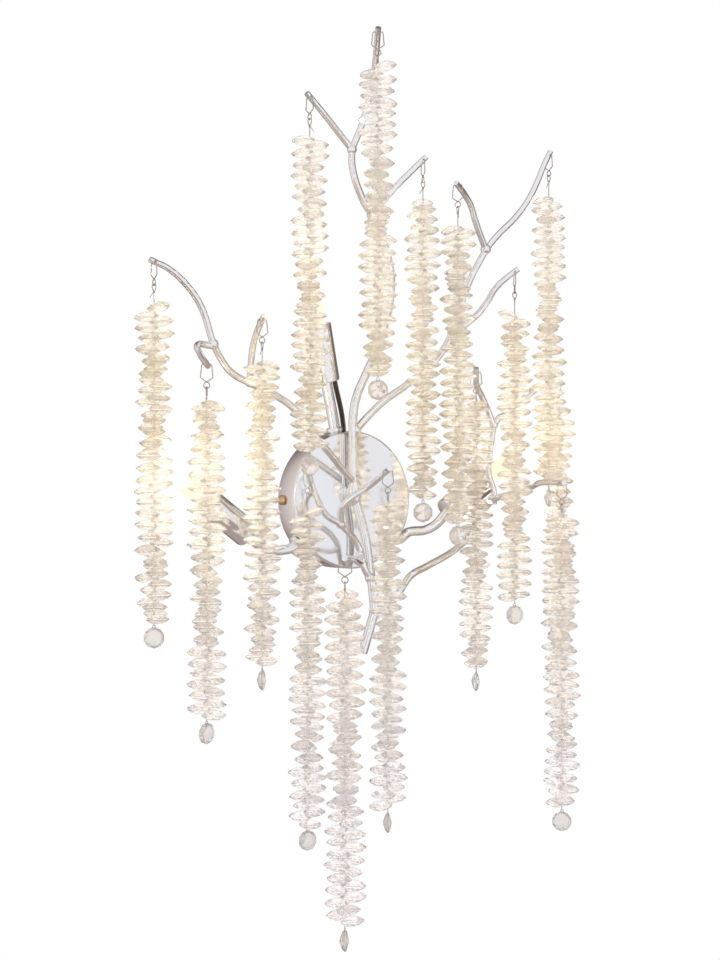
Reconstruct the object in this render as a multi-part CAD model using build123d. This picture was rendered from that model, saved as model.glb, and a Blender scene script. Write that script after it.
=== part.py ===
from build123d import *
import math
import os

# Crystal wall sconce, in mm. The wall is the plane y = 0, the front looks along -Y and +Z is up.
# The origin is the centre of the canopy's back. Everything that stands in front of the canopy is
# placed by its distance forward of the canopy's face.

# canopy and its fixings
CANOPY_D = 120.0
CANOPY_DEPTH = 28.0
CANOPY_WALL = 1.2
CANOPY_CHAMFER = 0.8
CANOPY_SIDES = 48
STRAP_WIDTH = 16.0
STRAP_THICK = 2.0
FLANGE_DEPTH = 17.0
WALL_HOLE_D = 5.0
WALL_HOLE_SPACING = 70.0
SIDE_SCREW_D = 4.0
SIDE_SCREW_HEAD_D = 9.0
SIDE_SCREW_HEAD_H = 4.0
SIDE_SCREW_BACK = 9.0
SCREW_SIDES = 12

# centre fitting
HUB_X = -4.5
HUB_Z = 6.0
HUB_WIDTH = 12.0
HUB_HEIGHT = 20.0
HUB_CORNER = 4.0
STUD_D = 8.0
STUD_NUT_AF = 13.0
STUD_NUT_H = 5.0
STUD_BEYOND_NUT = 2.0
TRUNK_FORWARD = 8.0

# branches
TRUNK_D = 8.0
BRANCH_D = 7.0
TWIG_D = 5.6
TUBE_SIDES = 8
TIP_BEYOND_HOLE = 4.0

# lamps
ARM_D = 8.5
ARM_BACK = 14.0
ARM_INSIDE = 9.0
ARM_STRAIGHT = 5.0
COLLAR_D = 14.5
COLLAR_H = 4.0
COLLAR_SIDES = 8
CUP_D = 24.0
CUP_LENGTH = 50.0
CUP_WALL = 1.2
CUP_BASE = 3.0
CUP_CHAMFER = 1.2
CUP_SIDES = 16
ARM_IN_CUP = 5.0
HOLDER_LENGTH = 30.0
HOLDER_BELOW_MOUTH = 4.0
SOCKET_DEPTH = 6.0
BULB_D = 15.0
BULB_OUT = 35.0
BULB_SHOULDER = 3.5
BULB_SIDES = 12
SLEEVE_D = 4.4
SLEEVE_BACK = 16.0

# strands
WIRE_D = 0.9
CLIP_HEIGHT = 14.3
CLIP_WIDTH = 10.8
CLIP_WAIST = 0.75
RING_D = 5.8
EYE_D = 4.2
TWIST_D = 1.8
BEAD_D = 19.4
BEAD_THICK = 7.6
BEAD_OFFSET = 6.3
BEAD_SIDES = 4
BEAD_COUNT = 54
LEAST_TURN = 82.0
PENDANT_D = 17.0
PENDANT_THICK = 7.0
PENDANT_DROP = 11.0
PENDANT_SIDES = 8
PENDANT_TABLE = 0.55
PENDANT_CROWN = 0.4

# clearances
SEAT_GAP = 0.3
BEAD_GAP = 0.3

# worked out from the sizes above
CANOPY_R = CANOPY_D / 2
CANOPY_IN_R = CANOPY_R - CANOPY_WALL
BEAD_R = BEAD_D / 2
BEAD_NEST = BEAD_OFFSET / BEAD_R * math.sin(math.radians(LEAST_TURN / 2))
BEAD_PITCH = BEAD_THICK * (1 - BEAD_NEST) + BEAD_GAP
TIP_HOLE_R = WIRE_D / math.sqrt(2) + SEAT_GAP
RING_INSIDE = CLIP_HEIGHT + RING_D - 1.5 * WIRE_D
EYE_TOP = RING_INSIDE - SEAT_GAP - WIRE_D


def front(x, forward, z):
    """A point at a distance forward of the canopy's face."""
    return Vector(x, -CANOPY_DEPTH - forward, z)


def route(*places):
    return [front(*place) for place in places]


# Branch routes, bend by bend, as (x, forward of the canopy's face, z).
TRUNK_LOW = route(
    (HUB_X, TRUNK_FORWARD, HUB_Z), (-1, 9, -7), (4, 12, -29), (6, 16, -57), (6, 22, -78),
    (5, 25, -98), (-6.5, 25, -131),
)
TRUNK_HIGH = route(
    (HUB_X, TRUNK_FORWARD, HUB_Z), (-5, 7.5, 54), (-5, 8, 75.5), (-2.5, 10, 91), (3, 14, 107),
    (12, 24, 138), (14, 38, 181), (7, 44, 207), (-15, 52, 241), (-26, 55, 253), (-39, 59, 279),
    (-40, 60, 293),
)
LEFT = route(
    (HUB_X, TRUNK_FORWARD, 16), (-21, 13, 28), (-30, 17, 35), (-50, 25, 50), (-62, 26, 64),
    (-74, 24, 77), (-92, 20, 89), (-114, 18, 98), (-131, 18, 106), (-143, 20, 118), (-151, 23, 129),
)
RIGHT = route(
    (-4, 8, 59), (9, 10, 73), (24, 14, 87), (42, 20, 100), (67, 30, 123), (78.5, 38, 146),
    (87, 50, 188), (102, 56, 219),
)
LOWER = route(
    (4.5, 25, -98), (25.5, 24, -87), (47, 20, -66.5), (67.5, 15, -59), (101, 8, -46.5),
    (118.5, 4, -36.5), (134, 4, -15.5), (140.5, 14, -0.5),
)
STEM = route((143.5, 13, -4.5), (144, 12, 7.5), (138.5, 12, 23), (139, 13, 40), (142.5, 14, 66.5))
FRONT = route((6, 18, -68), (-1.5, 20, -58), (-8, 20, -39), (-32, 30, -20))

# Each twig ends at the centre of its tip's hole: its route, the length of wire from the hole to the
# first bead, the strand's first turn and its pendant's turn in degrees.
TWIGS = {
    "01": (route((-40, 60, 293), (-32, 65, 317), (-31, 78, 348), (-35, 88, 362), (-42.5, 103, 382)),
           25.5, 10, -33),
    "02": (route((-40, 60, 293), (-48, 60, 301), (-62, 61, 317.5), (-82.5, 62, 332)), 32.5, 160, -10),
    "03": (route((-15, 52, 241), (0.5, 58, 261), (28, 66, 289.5)), 34, 155, -33),
    "04": (route((102, 56, 219), (86, 62, 243), (79, 65, 255), (69, 69, 264), (58, 75, 269.5)),
           34, 90, -10),
    "05": (route((102, 56, 219), (115.5, 56, 233), (135.5, 56, 250.5), (150.5, 55, 267.5),
                 (161.5, 54, 285), (168, 54, 298.5), (174, 54, 309)), 37, 120, 40),
    "06": (route((78.5, 38, 146), (99, 44, 161), (107.5, 49, 172.5), (113, 56, 186),
                 (119.5, 61, 194), (127, 65, 200.5)), 36, 250, -10),
    "07": (route((-151, 23, 129), (-166, 27, 161), (-180, 28, 176.5), (-195, 29, 187),
                 (-208, 29, 192)), 35, 30, -33),
    "08": (route((-114, 18, 98), (-119, 32, 126), (-120, 40, 138), (-120.5, 50, 148)), 32.5, 285, 48),
    "09": (route((-151, 23, 127), (-168, 28, 127), (-172, 40, 118.5), (-176, 58, 109.5)),
           28, 190, 15),
    "10": (route((-32, 30, -20), (-49, 33, -11.5), (-62, 37, 6.5), (-71, 40, 25)), 33, 55, -3),
    "11": (route((-32, 30, -20), (-36, 40, -4.5), (-19, 55, 12.5), (-24, 90, 25.5)), 25, 330, 60),
    "12": (route((-5, 20, -48), (-12, 32, -52), (-58, 90, -47), (-119, 173, -42)), 25.5, 100, 54),
    "13": (route((140.5, 14, -0.5), (140.5, 30, 3), (142.5, 45, 6), (147.5, 56, 9.5), (142, 83, 15),
                 (137, 118, 15)), 25, 225, -33),
    "14": (route((142.5, 14, 66.5), (137, 14, 78), (130, 13, 92.5), (118.5, 20, 103.5),
      (114.5, 25, 114)), 25, 140, 45),
    "15": (route((142.5, 14, 66.5), (147.5, 15, 73.5), (153.5, 16, 76.5), (173, 22, 93),
                 (186.5, 24, 101.5), (206.5, 27, 106.5)), 25, 5, 20),
}
ODD_BEAD_COUNTS = {"02": 55, "05": 55, "08": 53, "10": 56, "14": 51, "15": 55}

# How a strand's beads wander from their side: how far in degrees, and the radians from bead to bead.
WANDER = [(26.0, 1.7), (14.0, 0.61), (70.0, 0.19)]

# Lamps: the angle at which the arm leaves the canopy's side, the arm's free bends and the cup's
# base and mouth, as (x, forward of the canopy's face, z).
LAMPS = {
    "top": (99.5, [], (-20.5, -12, 103.5), (-32, -8, 151.5)),
    "left": (217.0, [(-60, -14, -42.5), (-77, -12, -42.5), (-93, -8, -36)],
             (-103.5, -6, -27.5), (-144, 4, -2)),
    "right": (-29.0, [(67.5, -14, -29.5), (85.5, -12, -27.5), (95.5, -10, -22.5)],
              (106, -8, -11.5), (154, -5, 22)),
}
SLEEVE_ANGLE = 90.0
SLEEVE_END = (-10, -15, 105)


def tube(points, diameter):
    """A tube with flats, mitred at each bend of its route."""
    start = Plane(origin=points[0], z_dir=points[1] - points[0])
    section = start * RegularPolygon(diameter / 2, TUBE_SIDES)
    return sweep(section, path=Polyline(*points), transition=Transition.RIGHT)


def joined(first, *others):
    """One welded solid."""
    whole = first
    for other in others:
        whole = whole + other
    return whole


def fitted(branch, *carriers):
    """A branch whose root is cut to stand clear of the tubes that carry it."""
    for points, diameter in carriers:
        branch = branch - tube(points, diameter + 2 * SEAT_GAP)
    return max(branch.solids(), key=lambda solid: solid.volume)


def heading(points):
    return (points[-1] - points[-2]).normalized()


def hole_plane(points):
    """At a twig's tip: x runs along the hole, y along the twig seen from above, z is up."""
    along = heading(points)
    ahead = Vector(along.X, along.Y, 0).normalized()
    return Plane(origin=points[-1], x_dir=ahead.cross(Vector(0, 0, 1)), z_dir=(0, 0, 1))


def twig(points):
    """A twig that runs on past its hole and ends cut square, with the hole across it."""
    end = points[-1] + heading(points) * TIP_BEYOND_HOLE
    body = tube(points[:-1] + [end], TWIG_D)
    across = hole_plane(points)
    bore = extrude(
        Plane(origin=points[-1], z_dir=across.x_dir) * RegularPolygon(TIP_HOLE_R, 6, major_radius=False),
        amount=TWIG_D, both=True,
    )
    return body - bore


def prism(diameter, height, sides, base=Plane.XY):
    """A many-sided round bar that stands on its base plane."""
    return extrude(base * RegularPolygon(diameter / 2, sides), amount=height)


def strap_reach():
    """How far from the middle a flat flange may stand inside the round canopy."""
    half_width = STRAP_WIDTH / 2
    return math.sqrt(CANOPY_IN_R ** 2 - half_width ** 2) * math.cos(math.pi / CANOPY_SIDES) - SEAT_GAP


def wall_plane(x=0, z=0):
    """The wall's plane at a place on it, facing the room."""
    return Plane(origin=(x, 0, z), x_dir=(1, 0, 0), z_dir=(0, -1, 0))


def side_plane(side, distance):
    return Plane(origin=(side * distance, -SIDE_SCREW_BACK, 0), x_dir=(0, 1, 0), z_dir=(side, 0, 0))


def mounting_strap():
    """The wall bar inside the canopy, with a bent flange for each side screw."""
    reach = strap_reach()
    bar = Box(2 * reach, STRAP_THICK, STRAP_WIDTH, align=(Align.CENTER, Align.MAX, Align.CENTER))
    flange = Box(STRAP_THICK, FLANGE_DEPTH, STRAP_WIDTH, align=(Align.MAX, Align.MAX, Align.CENTER))
    strap = bar + Pos(reach, 0, 0) * flange + Pos(STRAP_THICK - reach, 0, 0) * flange
    for side in (-1, 1):
        wall_hole = Rot(90, 0, 0) * Cylinder(WALL_HOLE_D / 2, 4 * STRAP_THICK)
        strap = strap - Pos(side * WALL_HOLE_SPACING / 2, 0, 0) * wall_hole
        screw_hole_d = SIDE_SCREW_D + 2 * SEAT_GAP
        strap = strap - prism(screw_hole_d, -3 * STRAP_THICK, SCREW_SIDES, side_plane(side, reach + 1))
    return strap


def side_screws():
    """A domed screw on each side, through the canopy and the strap's flange."""
    seat = CANOPY_R + SEAT_GAP
    shank_length = seat - strap_reach() + 2 * STRAP_THICK
    screws = []
    for side in (-1, 1):
        base = side_plane(side, seat)
        head = prism(SIDE_SCREW_HEAD_D, SIDE_SCREW_HEAD_H, SCREW_SIDES, base)
        head = chamfer(head.faces().sort_by(Axis.X)[-1 if side > 0 else 0].edges(), SIDE_SCREW_HEAD_H / 2)
        screws.append(head + prism(SIDE_SCREW_D, -shank_length, SCREW_SIDES, base))
    return screws


def arm_frame(name):
    """Where an arm crosses the canopy's side: the point on its outside and the way out."""
    angle = math.radians(LAMPS[name][0])
    out = Vector(math.cos(angle), 0, math.sin(angle))
    return front(0, -ARM_BACK, 0) + out * CANOPY_R, out


def arm_route(name):
    _, bends, base, mouth = LAMPS[name]
    wall, out = arm_frame(name)
    base = front(*base)
    into_cup = base + (front(*mouth) - base).normalized() * ARM_IN_CUP
    points = [wall - out * ARM_INSIDE, wall + out * (ARM_STRAIGHT + COLLAR_H)]
    return points + [front(*bend) for bend in bends] + [base, into_cup]


def sleeve_route():
    angle = math.radians(SLEEVE_ANGLE)
    out = Vector(math.cos(angle), 0, math.sin(angle))
    wall = front(0, -SLEEVE_BACK, 0) + out * CANOPY_R
    return [wall - out * ARM_INSIDE, wall + out * ARM_STRAIGHT, front(*SLEEVE_END)]


def canopy():
    """A shallow round pan, open to the wall."""
    body = prism(CANOPY_D, CANOPY_DEPTH, CANOPY_SIDES, wall_plane())
    body = chamfer(body.faces().sort_by(Axis.Y)[0].edges(), CANOPY_CHAMFER)
    body = body - prism(2 * CANOPY_IN_R, CANOPY_DEPTH - CANOPY_WALL, CANOPY_SIDES, wall_plane())
    stud_hole_d = STUD_D + 2 * SEAT_GAP
    body = body - prism(stud_hole_d, 2 * CANOPY_DEPTH, SCREW_SIDES, wall_plane(HUB_X, HUB_Z))
    for name in LAMPS:
        body = body - tube(arm_route(name)[:2], ARM_D + 2 * SEAT_GAP)
    body = body - tube(sleeve_route()[:2], SLEEVE_D + 2 * SEAT_GAP)
    for side in (-1, 1):
        hole_d = SIDE_SCREW_D + 2 * SEAT_GAP
        body = body - prism(hole_d, -4 * CANOPY_WALL, SCREW_SIDES, side_plane(side, CANOPY_R + 1))
    return body


def centre_fitting():
    """The pad behind the trunk with its stud through the canopy, and the nut on the inside."""
    face = wall_plane(HUB_X, HUB_Z).offset(CANOPY_DEPTH)
    outline = Rectangle(HUB_WIDTH, HUB_HEIGHT)
    pad = extrude(face * chamfer(outline.vertices(), HUB_CORNER), amount=TRUNK_FORWARD)
    for points in (TRUNK_LOW, TRUNK_HIGH):
        pad = pad - tube(points[:3], TRUNK_D + 2 * SEAT_GAP)
    pad = pad - tube(LEFT[:3], BRANCH_D + 2 * SEAT_GAP)
    pad = max(pad.solids(), key=lambda solid: solid.volume)
    pad = pad + prism(STUD_D, -(CANOPY_WALL + STUD_NUT_H + STUD_BEYOND_NUT), SCREW_SIDES, face)
    nut = RegularPolygon(STUD_NUT_AF / 2, 6, major_radius=False)
    nut = nut - RegularPolygon(STUD_D / 2 + SEAT_GAP, SCREW_SIDES)
    return [pad, extrude(face.offset(-CANOPY_WALL) * nut, amount=-STUD_NUT_H)]


def trunk():
    parts = [tube(TRUNK_LOW, TRUNK_D), tube(TRUNK_HIGH, TRUNK_D)]
    return joined(*parts, *[twig(TWIGS[n][0]) for n in ("01", "02", "03")])


def left_branch():
    whole = joined(tube(LEFT, BRANCH_D), *[twig(TWIGS[n][0]) for n in ("07", "08", "09")])
    return fitted(whole, (TRUNK_LOW, TRUNK_D), (TRUNK_HIGH[:2], TRUNK_D))


def right_branch():
    whole = joined(tube(RIGHT, BRANCH_D), *[twig(TWIGS[n][0]) for n in ("04", "05", "06")])
    return fitted(whole, (TRUNK_HIGH[:6], TRUNK_D))


def lower_branch():
    whole = joined(tube(LOWER, BRANCH_D), tube(STEM, TWIG_D),
                   *[twig(TWIGS[n][0]) for n in ("13", "14", "15")])
    return fitted(whole, (TRUNK_LOW, TRUNK_D))


def front_branch():
    whole = joined(tube(FRONT, TWIG_D), *[twig(TWIGS[n][0]) for n in ("10", "11", "12")])
    return fitted(whole, (TRUNK_LOW, TRUNK_D))


def lamp_arms():
    return [tube(arm_route(name), ARM_D) for name in LAMPS]


def arm_nuts():
    """On each arm a collar outside the canopy's side and a lock nut inside it."""
    nuts = []
    for name in LAMPS:
        wall, out = arm_frame(name)
        inside_chord = math.sqrt(CANOPY_IN_R ** 2 - (COLLAR_D / 2) ** 2) * math.cos(math.pi / CANOPY_SIDES)
        inside = wall - out * (CANOPY_R - inside_chord + SEAT_GAP)
        ring = RegularPolygon(COLLAR_D / 2, COLLAR_SIDES)
        ring = ring - RegularPolygon(ARM_D / 2 + SEAT_GAP, COLLAR_SIDES)
        for seat, length in ((wall + out * SEAT_GAP, COLLAR_H), (inside, -COLLAR_H)):
            nuts.append(extrude(Plane(origin=seat, z_dir=out) * ring, amount=length))
    return nuts


def cup_plane(name):
    _, _, base, mouth = LAMPS[name]
    return Plane(origin=front(*base), z_dir=front(*mouth) - front(*base))


def lamp_cup():
    """A deep open cup on a holed base, its axis along z and its base at z = 0."""
    cup = prism(CUP_D, CUP_LENGTH, CUP_SIDES)
    cup = chamfer(cup.faces().sort_by(Axis.Z)[0].edges(), CUP_CHAMFER)
    cup = cup - Pos(0, 0, CUP_BASE) * prism(CUP_D - 2 * CUP_WALL, CUP_LENGTH, CUP_SIDES)
    return cup - Pos(0, 0, -1) * prism(ARM_D + 2 * SEAT_GAP, 2 * CUP_BASE, TUBE_SIDES)


def lampholder():
    """A ceramic holder that fills the cup, with a recess for the lamp."""
    top = CUP_LENGTH - HOLDER_BELOW_MOUTH
    holder = prism(CUP_D - 2 * CUP_WALL - 2 * SEAT_GAP, -HOLDER_LENGTH, CUP_SIDES)
    holder = holder - prism(BULB_D + 2 * SEAT_GAP, -SOCKET_DEPTH, BULB_SIDES)
    return Pos(0, 0, top) * holder


def bulb():
    """A clear capsule lamp with a shouldered end."""
    low = CUP_LENGTH - HOLDER_BELOW_MOUTH - SOCKET_DEPTH + SEAT_GAP
    body = Pos(0, 0, low) * prism(BULB_D, CUP_LENGTH + BULB_OUT - low, BULB_SIDES)
    return chamfer(body.faces().sort_by(Axis.Z)[-1].edges(), BULB_SHOULDER)


def on_lamps(shape):
    return [cup_plane(name).location * shape for name in LAMPS]


def wire_ring(diameter):
    """A six-sided loop of flat wire, level at its top and bottom."""
    ring = RegularPolygon(diameter / 2, 6, major_radius=False)
    return ring - RegularPolygon(diameter / 2 - WIRE_D, 6, major_radius=False)


def clip():
    """A bent wire clip: a five-sided loop through the tip's hole, closed by a ring below it."""
    shoulder = CLIP_WIDTH / 2
    top = TWIG_D / 2 + SEAT_GAP + WIRE_D
    waist = CLIP_HEIGHT * CLIP_WAIST
    bends = [(top, 0), (shoulder, -waist), (0, -CLIP_HEIGHT), (-shoulder, -waist), (-top, 0)]
    outline = make_face(Polyline(*bends, close=True))
    loop = offset(outline, WIRE_D / 2, kind=Kind.INTERSECTION)
    loop = loop - offset(outline, -WIRE_D / 2, kind=Kind.INTERSECTION)
    ring = Pos(0, -CLIP_HEIGHT - RING_D / 2 + WIRE_D / 2) * wire_ring(RING_D)
    flat = extrude(loop + ring, amount=WIRE_D / 2, both=True)
    return Rot(90, 0, 0) * flat


def bead():
    """A faceted lozenge, its drilled axis along z and its middle to one side of it."""
    rim = RegularPolygon(BEAD_R, BEAD_SIDES)
    half = BEAD_THICK / 2
    upper = loft([rim.face(), Vertex(0, 0, half)])
    lower = loft([Vertex(0, 0, -half), rim.face()])
    return Pos(BEAD_OFFSET, 0, 0) * (upper + lower)


def pendant():
    """An eight-sided cut drop, flat on one face and pointed on the other, standing on edge."""
    rim = RegularPolygon(PENDANT_D / 2, PENDANT_SIDES)
    crown_height = PENDANT_THICK * PENDANT_CROWN
    crown_run = PENDANT_D / 2 * (1 - PENDANT_TABLE) * math.cos(math.pi / PENDANT_SIDES)
    crown = extrude(rim, amount=crown_height, taper=math.degrees(math.atan2(crown_run, crown_height)))
    point = loft([Vertex(0, 0, crown_height - PENDANT_THICK), rim.face()])
    return Rot(90, 0, 0) * (crown + point)


def bead_turn(index, first_turn):
    """Beads hang to alternate sides, and wander from their side down the strand."""
    wander = sum(reach * math.sin(index * pace + first_turn) for reach, pace in WANDER)
    return first_turn + 180 * (index % 2) + wander


def strand_sizes(number):
    """The drop from the hole to the first bead's top, and how many beads there are."""
    return TWIGS[number][1], ODD_BEAD_COUNTS.get(number, BEAD_COUNT)


def beads_length(count):
    return (count - 1) * BEAD_PITCH + BEAD_THICK


def crystals(number):
    """All the beads of one strand, and its pendant."""
    drop, count = strand_sizes(number)
    points, _, first_turn, pendant_turn = TWIGS[number]
    piece = bead()
    pieces = []
    for index in range(count):
        height = -drop - BEAD_THICK / 2 - index * BEAD_PITCH
        pieces.append(Pos(0, 0, height) * Rot(0, 0, bead_turn(index, first_turn)) * piece)
    low = -drop - beads_length(count) - PENDANT_DROP
    pieces.append(Pos(0, 0, low) * Rot(0, 0, pendant_turn) * pendant())
    return [Pos(points[-1]) * shape for shape in pieces]


def strand_wire(number):
    """The wire of one strand: an eye on the clip's ring, a twist, and the core down to the pendant."""
    drop, count = strand_sizes(number)
    eye = Rot(0, 0, 90) * Rot(90, 0, 0) * extrude(wire_ring(EYE_D), amount=WIRE_D / 2, both=True)
    eye_low = -EYE_TOP - EYE_D + WIRE_D / 2
    twist = Pos(0, 0, eye_low) * prism(TWIST_D, -(drop + eye_low + BEAD_THICK / 4), 4)
    core_top = -drop - BEAD_THICK / 4
    pendant_rim = -drop - beads_length(count) - PENDANT_DROP + PENDANT_D / 2
    core = Pos(0, 0, core_top) * prism(WIRE_D * math.sqrt(2), pendant_rim - 2 * WIRE_D - core_top, 4)
    shape = joined(Pos(0, 0, -EYE_TOP - EYE_D / 2) * eye, twist, core)
    return hole_plane(TWIGS[number][0]).location * shape


def strand_clip(number):
    return hole_plane(TWIGS[number][0]).location * clip()


os.makedirs("parts", exist_ok=True)


def save(name, *shapes):
    solids = [solid for shape in shapes for solid in shape.solids()]
    whole = solids[0] if len(solids) == 1 else Compound(children=solids)
    whole.label = name
    export_step(whole, f"parts/{name}.step")


save("mounting_strap", mounting_strap())
save("side_screws", *side_screws())
save("canopy", canopy())
save("centre_fitting", *centre_fitting())
save("trunk", trunk())
save("left_branch", left_branch())
save("right_branch", right_branch())
save("lower_branch", lower_branch())
save("front_branch", front_branch())
save("lamp_arms", *lamp_arms())
save("arm_nuts", *arm_nuts())
save("lamp_cups", *on_lamps(lamp_cup()))
save("lampholders", *on_lamps(lampholder()))
save("bulbs", *on_lamps(bulb()))
save("lead_sleeve", tube(sleeve_route(), SLEEVE_D))
for number in TWIGS:
    save(f"clip_{number}", strand_clip(number))
    save(f"wire_{number}", strand_wire(number))
    save(f"crystals_{number}", *crystals(number))
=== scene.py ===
"""Crystal wall sconce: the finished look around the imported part."""

import math

import bpy
from mathutils import Matrix, Vector


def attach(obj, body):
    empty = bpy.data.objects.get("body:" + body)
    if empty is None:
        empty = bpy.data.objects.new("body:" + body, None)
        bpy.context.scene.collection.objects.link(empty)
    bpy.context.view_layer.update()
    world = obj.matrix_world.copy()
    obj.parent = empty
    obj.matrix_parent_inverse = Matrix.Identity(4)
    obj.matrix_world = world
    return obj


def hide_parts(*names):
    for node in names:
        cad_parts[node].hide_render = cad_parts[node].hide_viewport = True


bl_info = {
    "name": "Crystal Wall Sconce",
    "version": (1, 0, 0),
    "blender": (4, 5, 0),
    "location": "3D View > Sidebar > Sconce",
    "description": "Builds a forked chrome wall lamp with hanging strands of faceted glass beads",
    "category": "Object",
}

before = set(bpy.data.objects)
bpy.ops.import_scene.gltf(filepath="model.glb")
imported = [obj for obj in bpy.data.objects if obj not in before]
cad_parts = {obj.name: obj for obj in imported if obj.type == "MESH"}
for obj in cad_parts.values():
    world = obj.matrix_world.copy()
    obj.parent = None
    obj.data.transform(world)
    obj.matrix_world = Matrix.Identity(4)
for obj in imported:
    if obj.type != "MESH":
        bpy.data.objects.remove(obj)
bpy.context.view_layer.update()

MM = 0.001
# Places this near to each other, in metres, count as one.
CLOSE = 1e-6
OUT_FROM_WALL = Vector((0, -1, 0))

# ---- the canopy and its fittings, in mm ----

CANOPY_DEPTH = 28.0
CANOPY_RADIUS = 60.0
CANOPY_WALL = 1.2
CANOPY_ROUNDING = 1.7
CANOPY_LIP_ROUNDING = 0.4
CANOPY_SIDES = 144
SIDE_SCREW_FROM_WALL = 9.0
SIDE_SCREW_GAP = 0.3
SIDE_SCREW_SHANK = 4.0
SIDE_SCREW_SHANK_ENDS = (-6.0, 1.0)
SIDE_SCREW_HEAD = 9.0
SIDE_SCREW_ROUNDING = 0.3
SIDE_SCREW_RIM = 1.2
SIDE_SCREW_DOME = 4.2
SIDE_SCREW_DOME_RISE = 0.62

WELD_FOOT_WIDTH = 12.5
WELD_FOOT_LENGTH = 6.0
WELD_FOOT_ROUNDING = 1.0
WELD_LUMP_RADIUS = 6.8
WELD_LUMP_STRETCH = (0.9, 0.85, 1.85)
# The lump's middle as (x, forward, z) from the hub.
WELD_LUMP_SHIFT = (0.5, 0.5, 1.0)
STUD_WIDTH = 8.0
STUD_LENGTH = 8.2
STUD_ROUNDING = 0.5
STUD_NUT_WIDTH = 15.0
# How far behind the canopy's face the stud's nut starts and ends.
STUD_NUT_BEHIND = (6.2, 1.2)
NUT_SIDES = 6
NUT_ROUNDING = 0.4

# ---- the lamps, in mm along the cup's axis from its base ----

ARM_FROM_WALL = 14.0
ARM_PAST_RIM = 9.0
ARM_INTO_CUP = 5.0
COLLAR_WIDTH = 14.5
COLLAR_OUTSIDE = (0.3, 4.3)
COLLAR_INSIDE = (-5.8, -1.8)
COLLAR_ROUNDING = 1.2
CUP_LENGTH = 50.0
CUP_WALL = 1.2
CUP_FLOOR = 3.0
CUP_ROUNDING = 0.7
HOLDER_ENDS = (16.0, 46.0)
HOLDER_WIDTH = 20.8
HOLDER_ROUNDING = 1.0
LAMP_ENDS = (40.0, 81.0)
LAMP_DOME = [(1.6, 0.96), (1.2, 0.86), (0.9, 0.7), (0.3, 0.4)]
# A near-black tube from inside the top of the canopy to beside the top lamp's cup.
DARK_STRIP_FROM_WALL = 12.0
DARK_STRIP_ANGLE = 90.0
DARK_STRIP_WIDTH = 4.4
DARK_STRIP_PAST_RIM = 5.0
DARK_STRIP_END = (-10, -15, 105)

# Each lamp: the angle at which its arm leaves the canopy, the arm's free bends, the cup's base and
# mouth.
LAMPS = {
    "top": (99.5, [], (-20.5, -12, 103.5), (-32, -8, 151.5)),
    "left": (217.0, [(-60, -14, -42.5), (-77, -12, -42.5), (-93, -8, -36)],
             (-103.5, -6, -27.5), (-144, 4, -2)),
    "right": (-29.0, [(67.5, -14, -29.5), (85.5, -12, -27.5), (95.5, -10, -22.5)],
              (106, -8, -11.5), (154, -5, 22)),
}
TOP_ARM_WIDER = 1.15

# ---- the tubes' routes, bend by bend, as (x, forward of the canopy's face, z) in mm ----

HUB = (-4.5, 8, 6)
TRUNK_LOW = [HUB, (-1, 9, -7), (4, 12, -29), (6, 16, -57), (6, 22, -78), (5, 25, -98),
             (3.6, 25.1, -102), (-6.5, 25, -131)]
TRUNK_HIGH = [HUB, (-5, 7.5, 54), (-5, 8, 75.5), (-2.5, 10, 91), (3, 14, 107), (12, 24, 138),
              (14, 38, 181), (7, 44, 207), (-15, 52, 241), (-26, 55, 253), (-39, 59, 279),
              (-40, 60, 293)]
LEFT = [(-4.5, 8, 16), (-21, 13, 28), (-30, 17, 35), (-50, 25, 50), (-62, 26, 64), (-74, 24, 77),
        (-92, 20, 89), (-114, 18, 98), (-131, 18, 106), (-143, 20, 118), (-151, 23, 129)]
RIGHT = [(-4, 8, 59), (9, 10, 73), (24, 14, 87), (42, 20, 100), (67, 30, 123), (78.5, 38, 146),
         (87, 50, 188), (102, 56, 219)]
LOWER = [(4.5, 25, -98), (25.5, 24, -87), (47, 20, -66.5), (67.5, 15, -59), (101, 8, -46.5),
         (118.5, 4, -36.5), (134, 4, -15.5), (140.5, 14, -0.5)]
STEM = [(143.5, 13, -4.5), (144, 12, 7.5), (138.5, 12, 23), (139, 13, 40), (142.5, 14, 66.5)]
FRONT = [(6, 18, -68), (-1.5, 20, -58), (-8, 20, -39), (-32, 30, -20)]

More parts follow.
